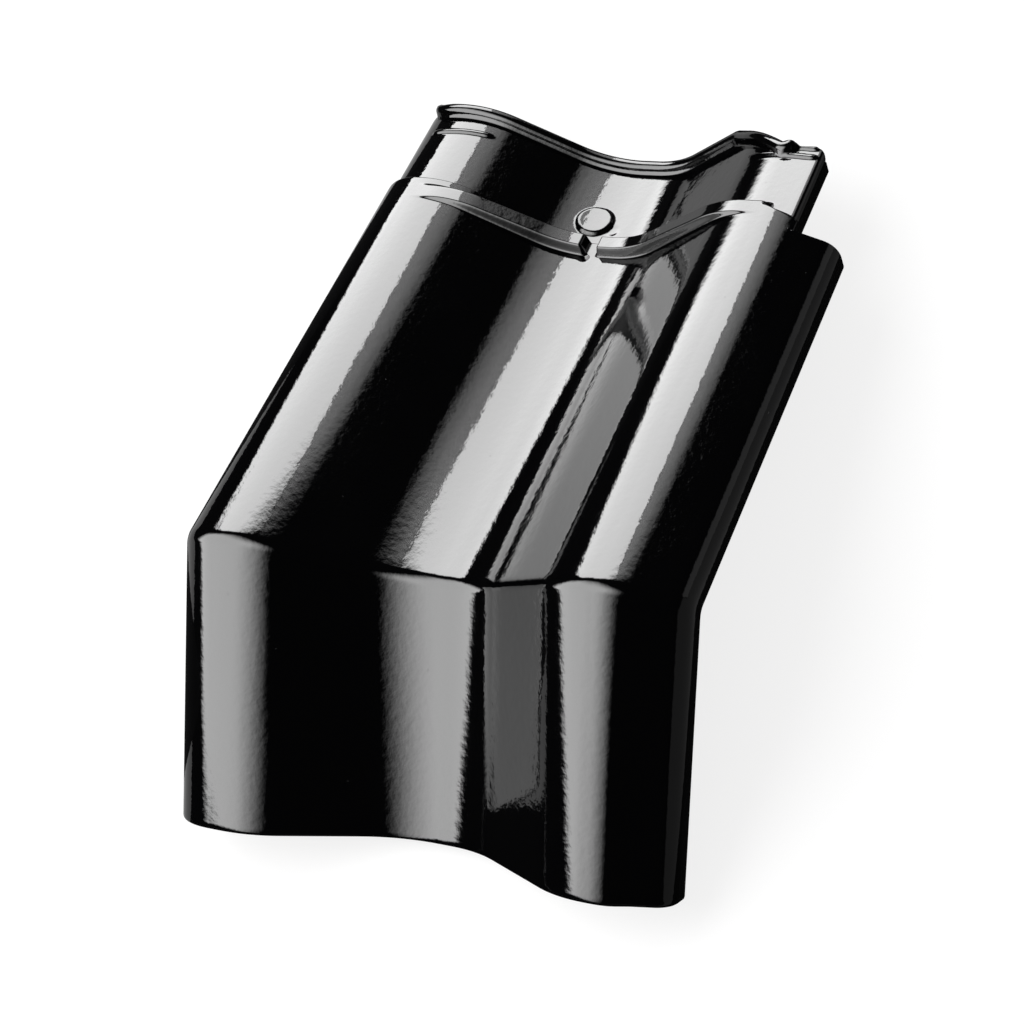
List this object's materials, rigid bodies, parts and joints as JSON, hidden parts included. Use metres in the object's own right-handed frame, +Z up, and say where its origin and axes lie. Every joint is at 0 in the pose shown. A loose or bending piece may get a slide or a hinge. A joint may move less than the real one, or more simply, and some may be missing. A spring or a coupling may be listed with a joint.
{
  "type": "verge tile",
  "caption": "Black glazed clay verge tile with a roll on both sides, kinked into a skirt for a mansard roof edge, with a lowered head lap.",
  "frame": {"origin": "on the floor, below the middle of the tile's bounding box, with the tile standing unheld on its nibs and the lower edge of its skirt", "axes": "+X across the tile to its right side as seen from the foot, +Y towards the head, +Z up"},
  "size_m": [0.2798, 0.4318, 0.1291],
  "materials": {
    "glazed_clay": "glossy black glaze"
  },
  "bodies": {
    "root": {"verge_tile": "glazed_clay"}
  },
  "joints": []
}
